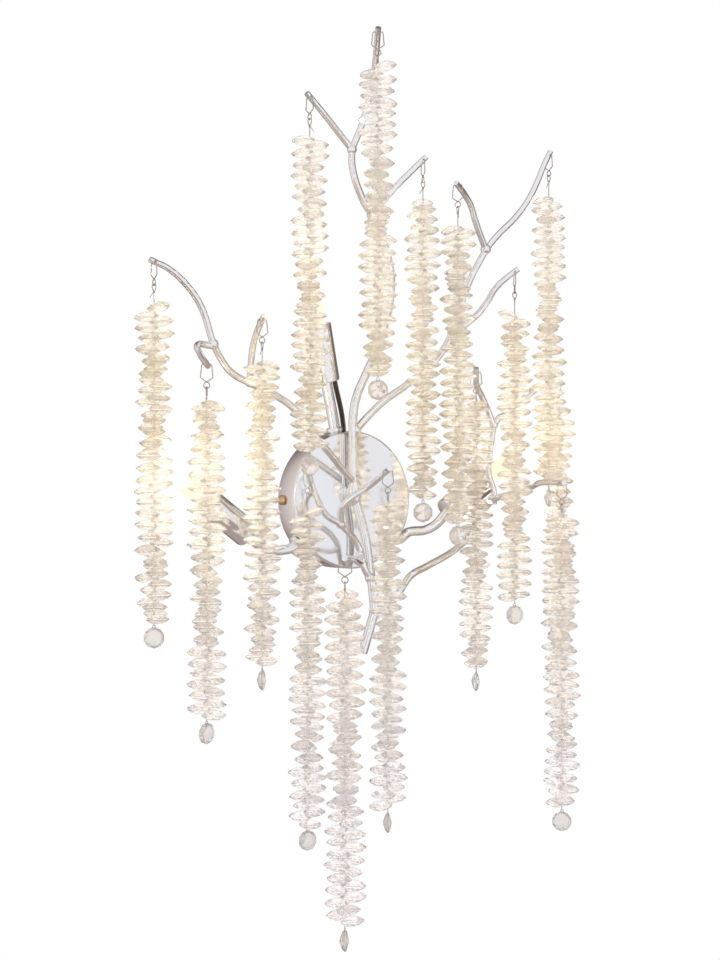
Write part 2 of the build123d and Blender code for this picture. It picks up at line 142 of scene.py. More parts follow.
# Each twig up to the centre of its tip's hole, the wire's length from the hole to the first bead,
# the strand's first turn and its pendant's turn in degrees.
TWIGS = {
    "01": ([(-40, 60, 293), (-32, 65, 317), (-31, 78, 348), (-35, 88, 362), (-42.5, 103, 382)],
           25.5, 10, -33),
    "02": ([(-40, 60, 293), (-50, 60, 302.5), (-66, 61, 317.5), (-82.5, 62, 332)],
           32.5, 160, -10),
    "03": ([(-15, 52, 241), (0.5, 58, 261), (28, 66, 289.5)], 34, 155, -33),
    "04": ([(102, 56, 219), (86, 62, 243), (79, 65, 255), (69, 69, 264), (58, 75, 269.5)],
           34, 90, -10),
    "05": ([(102, 56, 219), (115.5, 56, 233), (135.5, 56, 250.5), (150.5, 55, 267.5),
            (161.5, 54, 285), (168, 54, 298.5), (174, 54, 309)], 37, 120, 40),
    "06": ([(78.5, 38, 146), (99, 44, 161), (107.5, 49, 172.5), (113, 56, 186), (119.5, 61, 194),
            (127, 65, 200.5)], 36, 250, -10),
    "07": ([(-151, 23, 129), (-166, 27, 161), (-180, 28, 176.5), (-195, 29, 187), (-208, 29, 192)],
           35, 30, -33),
    "08": ([(-114, 18, 98), (-119, 32, 126), (-120, 40, 138), (-120.5, 50, 148)], 32.5, 285, 48),
    "09": ([(-151, 23, 127), (-168, 28, 127), (-172, 40, 118.5), (-176, 58, 109.5)],
           28, 190, 15),
    "10": ([(-32, 30, -20), (-49, 33, -11.5), (-62, 37, 6.5), (-71, 40, 25)], 33, 55, -3),
    "11": ([(-32, 30, -20), (-36, 40, -4.5), (-19, 55, 12.5), (-24, 90, 25.5)], 25, 330, 60),
    "12": ([(-5, 20, -48), (-12, 32, -52), (-58, 90, -47), (-119, 173, -42)], 25.5, 100, 54),
    "13": ([(140.5, 14, -0.5), (140.5, 30, 3), (142.5, 45, 6), (147.5, 56, 9.5), (142, 83, 15),
            (137, 118, 15)], 25, 225, -33),
    "14": ([(142.5, 14, 66.5), (137, 14, 78), (130, 13, 92.5), (118.5, 20, 103.5),
            (114.5, 25, 114)], 25, 140, 45),
    "15": ([(142.5, 14, 66.5), (147.5, 15, 73.5), (153.5, 16, 76.5), (173, 22, 93),
            (186.5, 24, 101.5), (206.5, 27, 106.5)], 25, 5, 20),
}
HOLE_BEYOND = 4.0
HOLE_WIDTH = 1.7
DRILL_REACH = 6.0

# Swollen knuckles where a twig or branch leaves: place and radius in mm.
KNUCKLES = {
    "trunk": [((-40, 60, 293), 4.1), ((-15, 52, 241), 4.2)],
    "left_branch": [((-151, 23, 128.5), 4.4), ((-114, 18, 98.5), 4.0)],
    "right_branch": [((102, 56, 219.5), 4.6), ((78.5, 38, 146.5), 4.0), ((-2.5, 8, 61), 4.6)],
    "lower_branch": [((141, 14, 0), 4.4), ((142.5, 14, 67), 3.8), ((6, 25, -98), 4.8)],
    "front_branch": [((-32, 30, -20), 4.0), ((-6, 20, -47), 4.0), ((5, 19, -67), 4.6)],
}

# ---- the clips and the strands' wires, in mm below the hole ----

CLIP_RIGHT_SIDE = [(3.4, 0), (3.95, -0.35), (4.2, -1.0), (5.1, -9.8), (5.1, -10.4), (4.8, -10.9),
                   (0.6, -13.8)]
RING_WIDTH = 5.8
RING_MIDDLE = -16.75
EYE_LOOP = [(0, -18.0), (1.4, -18.9), (1.55, -21.2), (0.5, -23.4), (0, -23.8), (-0.5, -23.4),
            (-1.55, -21.2), (-1.4, -18.9)]
CORE_TOP = -23.2
CORE_PAST_BEADS = 1.5
CORE_SHARE = 0.9
TWIST_RADIUS = 0.55
TWIST_DROP = 0.16
TWIST_POINTS = 14
TWIST_PACE = 0.9
# The wire's loose tail as (distance from the core, height).
TAIL = [(0, -25), (1.0, -25.4), (2.4, -27.2), (3.2, -28.6)]
TAIL_SHARE = 0.7
# The tail's turn in degrees, from the strand's first turn.
TAIL_TURN_PACE = 1.3
TAIL_TURN_START = 20

# ---- the beads and drops, in mm ----

BEAD_COUNT = 54
ODD_BEAD_COUNTS = {"02": 55, "05": 55, "08": 53, "10": 56, "14": 51, "15": 55}
BEAD_RADIUS = 9.7
BEAD_THICKNESS = 7.6
BEAD_OFFSET = 6.3
BEAD_CLEARANCE = 0.3
# Least turn between beads one apart, which lets their rims nest.
LEAST_TURN = math.radians(82)
# How a strand's beads wander from their side: degrees, and radians from bead to bead.
WANDER = [(26.0, 1.7), (14.0, 0.61), (70.0, 0.19)]
BEAD_TILT = math.radians(6)
TILT_PACE = 2.7
FIRST_BEAD_LEAN = 3
BEAD_VARIATION = 0.05
VARIATION_PACE = 3.9
SPIN_PACE = 2.4

CUT_SIDES = 10
CUT_TWIST = math.pi / 10
BEAD_GIRDLE = 0.9
# A cut's steps from girdle to table as (share of the rise, width ratio).
BEAD_STEPS = [(0.62, 0.7), (0.38, 0.52)]
PENDANT_GIRDLE = 0.8
PENDANT_FRONT = [(1.0, 0.84), (1.6, 0.16)]
PENDANT_BACK = [(2.0, 0.7), (1.7, 0.16)]
PENDANT_BELOW_BEADS = 11.0
PENDANT_EYE_WIDTH = 3.2
PENDANT_EYE_WIRE = 0.6
PENDANT_EYE_ABOVE = 8.8

# ---- the stage ----

CAMERA_PLACE = (-0.8937, -1.415, 0.0174)
CAMERA_TURN = math.radians(33)
CAMERA_LENS = 70.99
SENSOR_WIDTH = 36.0
CAMERA_NEAR = 0.05
# Soft lights as (name, place, size, power).
SOFT_LIGHTS = [("key_light", (-1.6, -2.2, 1.6), 1.6, 34), ("fill_light", (2.2, -1.6, 0.6), 1.8, 16)]
GLOW_ABOVE_BASE = 98.0
GLOW_RADIUS = 0.006
GLOW_POWER = 0.8
SOFT_ROOM_COLOUR = (1, 0.995, 0.985)
SOFT_ROOM_LIGHT = 0.9
GLASS_ROOM_LIGHT = 1.22

# The room's colour round the horizon, from behind the photographer over the left and back over
# the right, as (share of the round, red, green, blue).
ROOM_ROUND = [
    (0.0, 0.84, 0.84, 0.87), (0.1, 0.95, 0.95, 0.97), (0.19, 0.8, 0.78, 0.79),
    (0.25, 0.86, 0.82, 0.81), (0.3, 0.72, 0.65, 0.62), (0.36, 0.58, 0.5, 0.48),
    (0.41, 0.34, 0.28, 0.26), (0.46, 0.15, 0.12, 0.11), (0.5, 0.34, 0.3, 0.28),
    (0.54, 0.18, 0.14, 0.12), (0.66, 0.18, 0.14, 0.12), (0.745, 0.28, 0.22, 0.19),
    (0.77, 0.88, 0.87, 0.9), (0.83, 0.88, 0.89, 0.95), (0.92, 0.94, 0.94, 0.98),
    (1.0, 0.84, 0.84, 0.87),
]
# The room's colour seen through glass, by the angle away from straight ahead.
ROOM_AHEAD = [
    (0.0, 1.0, 1.0, 1.0), (0.12, 1.0, 1.0, 0.995), (0.22, 1.0, 0.985, 0.96),
    (0.35, 1.0, 0.96, 0.91), (0.46, 0.8, 0.72, 0.65), (0.6, 1.0, 0.96, 0.91),
    (1.0, 1.0, 0.96, 0.92),
]
ROOM_LOW = (0.42, 0.35, 0.32)
ROOM_TOP = (0.88, 0.88, 0.9)
ROOM_TOP_STARTS = 0.3
ROOM_LOW_STARTS = 0.46
ROOM_LOW_SLOPE = 6.0


class SconceSizes(bpy.types.PropertyGroup):
    canopy_width: bpy.props.FloatProperty(
        name="Canopy Width", description="Across the round wall canopy",
        default=2 * CANOPY_RADIUS * MM, unit="LENGTH")
    trunk_width: bpy.props.FloatProperty(
        name="Trunk Width", description="Across the main tube", default=0.008, unit="LENGTH")
    branch_width: bpy.props.FloatProperty(
        name="Branch Width", description="Across a branch tube", default=0.0064, unit="LENGTH")
    twig_width: bpy.props.FloatProperty(
        name="Twig Width", description="Across a twig tube at its tip", default=0.0048,
        unit="LENGTH")
    arm_width: bpy.props.FloatProperty(
        name="Arm Width", description="Across a lamp arm", default=0.0085, unit="LENGTH")
    cup_width: bpy.props.FloatProperty(
        name="Cup Width", description="Across a lamp cup", default=0.024, unit="LENGTH")
    bulb_width: bpy.props.FloatProperty(
        name="Lamp Width", description="Across a capsule lamp", default=0.015, unit="LENGTH")
    bead_width: bpy.props.FloatProperty(
        name="Bead Width", description="Across a glass bead", default=2 * BEAD_RADIUS * MM,
        unit="LENGTH")
    bead_thickness: bpy.props.FloatProperty(
        name="Bead Thickness", description="Through the middle of a bead",
        default=BEAD_THICKNESS * MM, unit="LENGTH")
    pendant_width: bpy.props.FloatProperty(
        name="Pendant Width", description="Across the cut drop below a strand", default=0.017,
        unit="LENGTH")
    wire_width: bpy.props.FloatProperty(
        name="Wire Width", description="Across the clips' and strands' wire", default=0.0009,
        unit="LENGTH")


class SconceColours(bpy.types.PropertyGroup):
    chrome: bpy.props.FloatVectorProperty(
        name="Chrome", description="Colour of the polished metal", default=(0.9, 0.895, 0.9),
        subtype="COLOR", min=0.0, max=1.0)
    wire: bpy.props.FloatVectorProperty(
        name="Wire", description="Colour of the clips and links", default=(0.5, 0.45, 0.4),
        subtype="COLOR", min=0.0, max=1.0)
    crystal: bpy.props.FloatVectorProperty(
        name="Crystal", description="Colour of the glass beads", default=(0.985, 0.955, 0.96),
        subtype="COLOR", min=0.0, max=1.0)
    # Painted lamp light: the warm colour painted on the beads close to the lamps.
    crystal_painted_light: bpy.props.FloatVectorProperty(
        name="Crystal Painted Light", description="Colour of the beads close to the lamps",
        default=(1.0, 0.94, 0.83), subtype="COLOR", min=0.0, max=1.0)
    lamp_glow: bpy.props.FloatVectorProperty(
        name="Lamp Glow", description="Colour of the lamps' light", default=(1.0, 0.93, 0.74),
        subtype="COLOR", min=0.0, max=1.0)
    lit_lamp: bpy.props.FloatVectorProperty(
        name="Lit Lamp", description="Colour of a lit capsule lamp", default=(1.0, 0.91, 0.7),
        subtype="COLOR", min=0.0, max=1.0)
    # Colour of the near-black tube beside the top arm.
    sleeve: bpy.props.FloatVectorProperty(
        name="Dark Strip", description="Colour of the lead's sleeve", default=(0.035, 0.02, 0.014),
        subtype="COLOR", min=0.0, max=1.0)


# ---- places ----

def mm(x, y, z):
    return Vector((x, y, z)) * MM


def at(place_mm):
    """A route point in metres."""
    x, forward, z = place_mm
    return mm(x, -CANOPY_DEPTH - forward, z)


def heading(places):
    return (at(places[-1]) - at(places[-2])).normalized()


def hole_frame(number):
    """At a twig's tip: x along the hole, y along the twig seen from above, z up."""
    places = TWIGS[number][0]
    along = heading(places)
    ahead = Vector((along.x, along.y, 0)).normalized()
    across = ahead.cross(Vector((0, 0, 1)))
    turn = Matrix((across, ahead, (0, 0, 1))).transposed().to_4x4()
    return Matrix.Translation(at(places[-1])) @ turn


def rim_place(angle, from_wall):
    """The direction out of the canopy at an angle, and the place on its rim."""
    out = Vector((math.cos(math.radians(angle)), 0, math.sin(math.radians(angle))))
    return out, mm(0, -from_wall, 0) + out * CANOPY_RADIUS * MM


def arm_places(name):
    """The arm's centre line in metres, from inside the canopy into its cup."""
    angle, bends, base, mouth = LAMPS[name]
    out, wall = rim_place(angle, ARM_FROM_WALL)
    reach = out * ARM_PAST_RIM * MM
    into_cup = at(base) + (at(mouth) - at(base)).normalized() * ARM_INTO_CUP * MM
    return [wall - reach, wall + reach, *(at(bend) for bend in bends), at(base), into_cup]


def along_axis(start, axis):
    """A frame at a place with z along an axis."""
    return Matrix.Translation(start) @ axis.to_track_quat("Z", "Y").to_matrix().to_4x4()


def cup_frame(name):
    _, _, base, mouth = LAMPS[name]
    return along_axis(at(base), (at(mouth) - at(base)).normalized())


# ---- making things ----

def only(piece):
    bpy.ops.object.select_all(action="DESELECT")
    piece.select_set(True)
    bpy.context.view_layer.objects.active = piece
    return piece


def apply_place(piece):
    only(piece)
    bpy.ops.object.transform_apply(location=True, rotation=True, scale=True)
    return piece


def joined(pieces, name):
    """All the pieces as one object with its place in its mesh."""
    only(pieces[0])
    for piece in pieces[1:]:
        piece.select_set(True)
    if len(pieces) > 1:
        bpy.ops.object.join()
    whole = apply_place(bpy.context.view_layer.objects.active)
    whole.name = name
    return whole


def moved(piece, matrix):
    piece.matrix_world = matrix @ piece.matrix_world
    return apply_place(piece)


def copied(piece, matrix):
    twin = piece.copy()
    twin.data = piece.data.copy()
    bpy.context.collection.objects.link(twin)
    twin.matrix_world = matrix @ piece.matrix_world
    return twin


def dropped(piece):
    only(piece)
    bpy.ops.object.delete()


def smooth(piece, degrees=35):
    only(piece)
    bpy.ops.object.shade_smooth_by_angle(angle=math.radians(degrees))
    return piece


def with_modifier(piece, kind, **settings):
    """One modifier, set and applied."""
    only(piece)
    bpy.ops.object.modifier_add(type=kind)
    modifier = piece.modifiers[-1]
    for key, value in settings.items():
        setattr(modifier, key, value)
    bpy.ops.object.modifier_apply(modifier=modifier.name)
    return piece


def rounded(piece, width, segments, degrees):
    """Round the edges that are sharper than an angle."""
    return with_modifier(piece, "BEVEL", width=width, segments=segments, limit_method="ANGLE",
                         angle_limit=math.radians(degrees))


def swept(points, width, end_width=None, closed=False, steps=10, sides=5, straight=False):
    """A round tube through its points, in metres, smoothly bent or straight between them."""
    bpy.ops.object.select_all(action="DESELECT")
    bpy.ops.curve.primitive_bezier_curve_add()
    curve = bpy.context.object
    spline = curve.data.splines[0]
    spline.bezier_points.add(len(points) - 2)
    last = len(points) - 1
    for index, (knot, point) in enumerate(zip(spline.bezier_points, points)):
        knot.handle_left_type = knot.handle_right_type = "VECTOR" if straight else "AUTO"
        knot.co = point
        share = index / last
        knot.radius = 1 + share * ((end_width or width) / width - 1)
    spline.use_cyclic_u = closed
    curve.data.dimensions = "3D"
    curve.data.resolution_u = steps
    curve.data.bevel_depth = width / 2
    curve.data.bevel_resolution = sides
    curve.data.use_fill_caps = not closed
    bpy.ops.object.convert(target="MESH")
    tube = bpy.context.object
    bpy.ops.object.mode_set(mode="EDIT")
    bpy.ops.mesh.select_all(action="SELECT")
    bpy.ops.mesh.remove_doubles(threshold=CLOSE)
    bpy.ops.mesh.normals_make_consistent(inside=False)
    bpy.ops.object.mode_set(mode="OBJECT")
    return tube


def ball(point, radius, stretch=(1, 1, 1), segments=24):
    bpy.ops.object.select_all(action="DESELECT")
    bpy.ops.mesh.primitive_uv_sphere_add(segments=segments, ring_count=segments // 2,
                                         radius=radius, location=point)
    piece = bpy.context.object
    piece.scale = stretch
    return piece


def bar(low, high, width, sides=24, rounding=0.0):
    """A straight round bar from one point to another, with its edges rounded."""
    axis = high - low
    bpy.ops.object.select_all(action="DESELECT")
    bpy.ops.mesh.primitive_cylinder_add(vertices=sides, radius=width / 2, depth=axis.length)
    piece = bpy.context.object
    if rounding:
        rounded(piece, rounding, 3, 60)
    return moved(piece, along_axis((low + high) / 2, axis))


def upright_bar(ends_mm, width, sides):
    """A round bar along z between two heights in mm, with its place in its mesh."""
    low, high = ends_mm
    bpy.ops.object.select_all(action="DESELECT")
    bpy.ops.mesh.primitive_cylinder_add(vertices=sides, radius=width / 2, depth=(high - low) * MM,
                                        location=mm(0, 0, (low + high) / 2))
    return apply_place(bpy.context.object)


def ring(width, wire, segments=28):
    bpy.ops.object.select_all(action="DESELECT")
    bpy.ops.mesh.primitive_torus_add(major_segments=segments, minor_segments=8,
                                     major_radius=width / 2 - wire / 2, minor_radius=wire / 2,
                                     rotation=(math.pi / 2, 0, 0))
    return bpy.context.object


def faces_near(piece, test):
    """Select the faces whose middle passes the test."""
    only(piece)
    bpy.ops.object.mode_set(mode="EDIT")
    bpy.ops.mesh.select_mode(type="FACE")
    bpy.ops.mesh.select_all(action="DESELECT")
    bpy.ops.object.mode_set(mode="OBJECT")
    for face in piece.data.polygons:
        face.select = test(face)
    bpy.ops.object.mode_set(mode="EDIT")


def stepped(piece, side, steps, twist=0.0):
    """Draw an end face out in steps of (height in mm, width ratio), each turned by the twist."""
    top = max(side * face.center.z for face in piece.data.polygons)
    faces_near(piece, lambda face: side * face.center.z > top - CLOSE)
    for height, ratio in steps:
        rise = (0, 0, side * height * MM)
        bpy.ops.mesh.extrude_region_move(TRANSFORM_OT_translate={"value": rise})
        bpy.ops.transform.resize(value=(ratio, ratio, 1))
        if twist:
            bpy.ops.transform.rotate(value=twist, orient_axis="Z", center_override=(0, 0, 0))
    bpy.ops.object.mode_set(mode="OBJECT")


def dressed(piece, name, material, body, nodes=()):
    """Give a finished piece its name, material and body, and hide the CAD nodes that it stands for.
    """
    piece.name = name
    piece.data.name = name
    piece.data.materials.clear()
    piece.data.materials.append(material)
    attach(piece, body)
    if nodes:
        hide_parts(*nodes)
    return piece


# ---- finishes ----

def node_group(name, inputs, outputs):
    group = bpy.data.node_groups.new(name, "ShaderNodeTree")
    for socket, kind, default in inputs:
        item = group.interface.new_socket(name=socket, in_out="INPUT", socket_type=kind)
        item.default_value = default
    for socket, kind in outputs:
        group.interface.new_socket(name=socket, in_out="OUTPUT", socket_type=kind)
    return group, group.nodes.new("NodeGroupInput"), group.nodes.new("NodeGroupOutput")


def haze_group():
    """Faint unevenness of a polished surface, as a value between two limits."""
    group, given, result = node_group(
        "Polish Haze",
        [("Scale", "NodeSocketFloat", 60.0), ("Low", "NodeSocketFloat", 0.05),
         ("High", "NodeSocketFloat", 0.12)],
        [("Roughness", "NodeSocketFloat")])
    where = group.nodes.new("ShaderNodeTexCoord")
    noise = group.nodes.new("ShaderNodeTexNoise")
    spread = group.nodes.new("ShaderNodeMapRange")
    noise.inputs["Detail"].default_value = 3.0
    spread.inputs["From Min"].default_value = 0.35
    spread.inputs["From Max"].default_value = 0.7
    link = group.links.new
    link(where.outputs["Object"], noise.inputs["Vector"])
    link(given.outputs["Scale"], noise.inputs["Scale"])
    link(noise.outputs["Fac"], spread.inputs["Value"])
    link(given.outputs["Low"], spread.inputs["To Min"])
    link(given.outputs["High"], spread.inputs["To Max"])
    link(spread.outputs["Result"], result.inputs["Roughness"])
    return group


def painted_lamp_light_group():
    """Painted lamp light: a warm colour painted around the lamps' height that fades to a cool one
    above and below.
    """
    group, given, result = node_group(
        "Painted Lamp Light",
        [("Warm", "NodeSocketColor", (1, 0.94, 0.82, 1)),
         ("Cool", "NodeSocketColor", (0.9, 0.88, 0.88, 1)),
         ("Middle", "NodeSocketFloat", 0.09), ("Reach", "NodeSocketFloat", 0.32)],
        [("Color", "NodeSocketColor")])
    where = group.nodes.new("ShaderNodeTexCoord")
    split = group.nodes.new("ShaderNodeSeparateXYZ")
    offset = group.nodes.new("ShaderNodeMath")
    offset.operation = "SUBTRACT"
    size = group.nodes.new("ShaderNodeMath")
    size.operation = "ABSOLUTE"
    share = group.nodes.new("ShaderNodeMath")
    share.operation = "DIVIDE"
    share.use_clamp = True
    noise = group.nodes.new("ShaderNodeTexNoise")
    noise.inputs["Scale"].default_value = 55.0
    ripple = group.nodes.new("ShaderNodeMapRange")
    ripple.inputs["To Min"].default_value = -0.3
    ripple.inputs["To Max"].default_value = 0.3
    total = group.nodes.new("ShaderNodeMath")
    total.operation = "ADD"
    total.use_clamp = True
    mix = group.nodes.new("ShaderNodeMix")
    mix.data_type = "RGBA"
    link = group.links.new
    link(where.outputs["Object"], split.inputs[0])
    link(where.outputs["Object"], noise.inputs["Vector"])
    link(split.outputs["Z"], offset.inputs[0])
    link(given.outputs["Middle"], offset.inputs[1])
    link(offset.outputs[0], size.inputs[0])
    link(size.outputs[0], share.inputs[0])
    link(given.outputs["Reach"], share.inputs[1])
    link(noise.outputs["Fac"], ripple.inputs["Value"])
    link(share.outputs[0], total.inputs[0])
    link(ripple.outputs["Result"], total.inputs[1])
    link(total.outputs[0], mix.inputs["Factor"])
    link(given.outputs["Warm"], mix.inputs["A"])
    link(given.outputs["Cool"], mix.inputs["B"])
    link(mix.outputs["Result"], result.inputs["Color"])
    return group


# The second group paints warm lamp light into the glass's colour near the lamps' height.
GROUP_MAKERS = {"haze": haze_group, "painted_lamp_light": painted_lamp_light_group}
GROUPS = {}


def shared(name):
    """Each node group is made once."""
    if name not in GROUPS:
        GROUPS[name] = GROUP_MAKERS[name]()
    return GROUPS[name]


def with_alpha(value):
    """A colour with full alpha; a plain number as it is."""
    return (*value[:3], 1.0) if hasattr(value, "__len__") else value


def shader_of(material):
    return material.node_tree.nodes["Principled BSDF"]


def plain_finish(name, **sockets):
    """A material whose shader has these plain values."""
    material = bpy.data.materials.new(name)
    material.use_nodes = True
    for key, value in sockets.items():
        shader_of(material).inputs[key.replace("_", " ")].default_value = with_alpha(value)
    return material


def driven(material, socket, group, output, **values):
    """Feed a shader's socket from a shared group that has its own values here."""
    node = material.node_tree.nodes.new("ShaderNodeGroup")
    node.node_tree = shared(group)
    for key, value in values.items():
        node.inputs[key].default_value = with_alpha(value)
    material.node_tree.links.new(node.outputs[output], shader_of(material).inputs[socket])
    return material


def polished(name, colour, low, high, scale=60.0):
    material = plain_finish(name, Base_Color=colour, Metallic=1.0)
    return driven(material, "Roughness", "haze", "Roughness", Scale=scale, Low=low, High=high)


# Glass with painted lamp light: its warm colour is painted near the lamps' height, its cool one
# away from them.
def cut_glass(name, warm, cool, transmission, roughness, bend):
    material = plain_finish(name, Transmission_Weight=transmission, Roughness=roughness, IOR=bend)
    return driven(material, "Base Color", "painted_lamp_light", "Color", Warm=warm, Cool=cool)


FINISHES = {}


def finish(name):
    """Each finish is made once."""
    if name in FINISHES:
        return FINISHES[name]
    colours = bpy.context.scene.sconce_colours
    makers = {
        "chrome": lambda: polished("Chrome", colours.chrome, low=0.02, high=0.05),
        "canopy_chrome": lambda: polished("Canopy Chrome", colours.chrome, low=0.08, high=0.13,
                                          scale=30.0),
        "brass": lambda: polished("Brass", (0.62, 0.42, 0.24), low=0.12, high=0.24),
        "wire": lambda: polished("Drawn Wire", colours.wire, low=0.18, high=0.3, scale=400.0),
        # The near-black tube beside the top arm.
        "sleeve": lambda: plain_finish("Dark Strip Finish", Base_Color=colours.sleeve, Roughness=0.45),
        "ceramic": lambda: plain_finish("Ceramic", Base_Color=(0.86, 0.83, 0.78), Roughness=0.55),
        # Both cut glasses get painted lamp light: their first colour, warm, is painted near the
        # lamps' height.
        "crystal": lambda: cut_glass("Cut Crystal", colours.crystal_painted_light, colours.crystal,
                                     transmission=0.8, roughness=0.11, bend=1.38),
        "pendant": lambda: cut_glass("Pendant Crystal", (0.84, 0.78, 0.73), (0.72, 0.69, 0.68),
                                     transmission=0.74, roughness=0.02, bend=1.55),
        "lamp": lambda: plain_finish("Lit Lamp", Base_Color=(0.1, 0.08, 0.04), Roughness=0.3,
                                     Emission_Color=colours.lit_lamp, Emission_Strength=0.95),
    }
    FINISHES[name] = makers[name]()
    return FINISHES[name]


# ---- the pieces ----

class SCONCE_OT_canopy(bpy.types.Operator):
    """The round wall pan and its two side screws"""
    bl_idname = "sconce.canopy"
    bl_label = "Canopy"

    def pan(self, width):
        """A round pan with an open back."""
        radius = (width - CANOPY_WALL * MM) / 2
        depth = (CANOPY_DEPTH - CANOPY_WALL) * MM
        bpy.ops.object.select_all(action="DESELECT")
        bpy.ops.mesh.primitive_cylinder_add(vertices=CANOPY_SIDES, radius=radius, depth=depth)
        pan = bpy.context.object
        faces_near(pan, lambda face: face.center.z > depth / 2 - CLOSE)
        bpy.ops.mesh.delete(type="FACE")
        bpy.ops.object.mode_set(mode="OBJECT")
        rounded(pan, CANOPY_ROUNDING * MM, 3, 50)
        with_modifier(pan, "SOLIDIFY", thickness=CANOPY_WALL * MM, offset=0.0)
        rounded(pan, CANOPY_LIP_ROUNDING * MM, 2, 50)
        middle = Matrix.Translation(OUT_FROM_WALL * CANOPY_DEPTH / 2 * MM)
        return smooth(moved(pan, middle @ Matrix.Rotation(-math.pi / 2, 4, "X")), 30)

    def side_screw(self, side, width):
        """A screw's shank and domed head on one side of the pan."""
        out = Vector((side, 0, 0))
        seat = out * (width / 2 + SIDE_SCREW_GAP * MM) + OUT_FROM_WALL * SIDE_SCREW_FROM_WALL * MM
        inner, outer = (seat + out * reach * MM for reach in SIDE_SCREW_SHANK_ENDS)
        under_dome = seat + out * SIDE_SCREW_RIM * MM
        return [
            bar(inner, outer, SIDE_SCREW_SHANK * MM),
            bar(seat, under_dome, SIDE_SCREW_HEAD * MM, 32, SIDE_SCREW_ROUNDING * MM),
            ball(under_dome, SIDE_SCREW_DOME * MM, (SIDE_SCREW_DOME_RISE, 1, 1), 32),
        ]

    def execute(self, context):
        width = context.scene.sconce_sizes.canopy_width
        dressed(self.pan(width), "canopy_pan", finish("canopy_chrome"), "fixture", ("canopy",))
        screws = self.side_screw(-1, width) + self.side_screw(1, width)
        heads = smooth(joined(screws, "side_screw_heads"), 40)
        dressed(heads, "side_screw_heads", finish("brass"), "fixture", ("side_screws",))
        return {"FINISHED"}


class SCONCE_OT_branches(bpy.types.Operator):
    """The trunk, its branches and their drilled twigs"""
    bl_idname = "sconce.branches"
    bl_label = "Branches"

    def twig(self, number, root_width, tip_width):
        places = TWIGS[number][0]
        tip = at(places[-1])
        points = [at(place) for place in places] + [tip + heading(places) * HOLE_BEYOND * MM]
        tube = swept(points, root_width, tip_width)
        across = hole_frame(number).to_3x3().col[0] * DRILL_REACH * MM
        drill = bar(tip - across, tip + across, HOLE_WIDTH * MM, 12)
        with_modifier(tube, "BOOLEAN", operation="DIFFERENCE", object=drill, solver="EXACT")
        dropped(drill)
        return tube

    def execute(self, context):
        sizes = context.scene.sconce_sizes
        trunk, branch, tip = sizes.trunk_width, sizes.branch_width, sizes.twig_width
        root = (branch + tip) / 2
        # Each node's routes with their widths at both ends, and its twigs.
        plan = {
            "trunk": ([(TRUNK_LOW, trunk, trunk), (TRUNK_HIGH, trunk, root)], ("01", "02", "03")),
            "left_branch": ([(LEFT, branch, root)], ("07", "08", "09")),
            "right_branch": ([(RIGHT, branch, root)], ("04", "05", "06")),
            "lower_branch": ([(LOWER, branch, root), (STEM, root, tip)], ("13", "14", "15")),
            "front_branch": ([(FRONT, branch, root)], ("10", "11", "12")),
        }
        for node, (routes, twigs) in plan.items():
            pieces = [swept([at(place) for place in places], *widths)
                      for places, *widths in routes]
            pieces += [self.twig(number, root, tip) for number in twigs]
            pieces += [ball(at(place), radius * MM) for place, radius in KNUCKLES[node]]
            tubes = smooth(joined(pieces, node + "_tubes"), 50)
            dressed(tubes, node + "_tubes", finish("chrome"), "fixture", (node,))
        return {"FINISHED"}


class SCONCE_OT_fitting(bpy.types.Operator):
    """The swollen weld that carries the trunk, with its stud and nut through the canopy"""
    bl_idname = "sconce.fitting"
    bl_label = "Centre Fitting"

    def execute(self, context):
        face = at((HUB[0], 0, HUB[2]))
        foot = bar(face, face + OUT_FROM_WALL * WELD_FOOT_LENGTH * MM, WELD_FOOT_WIDTH * MM,
                   40, WELD_FOOT_ROUNDING * MM)
        middle = at([place + shift for place, shift in zip(HUB, WELD_LUMP_SHIFT)])
        lump = ball(middle, WELD_LUMP_RADIUS * MM, WELD_LUMP_STRETCH, 40)
        stud = bar(face - OUT_FROM_WALL * STUD_LENGTH * MM, face, STUD_WIDTH * MM,
                   24, STUD_ROUNDING * MM)
        nut_back, nut_front = (face - OUT_FROM_WALL * behind * MM for behind in STUD_NUT_BEHIND)
        nut = bar(nut_back, nut_front, STUD_NUT_WIDTH * MM, NUT_SIDES, NUT_ROUNDING * MM)
        welded = smooth(joined([foot, lump, stud, nut], "hub_boss"), 40)
        dressed(welded, "hub_boss", finish("chrome"), "fixture", ("centre_fitting",))
        return {"FINISHED"}


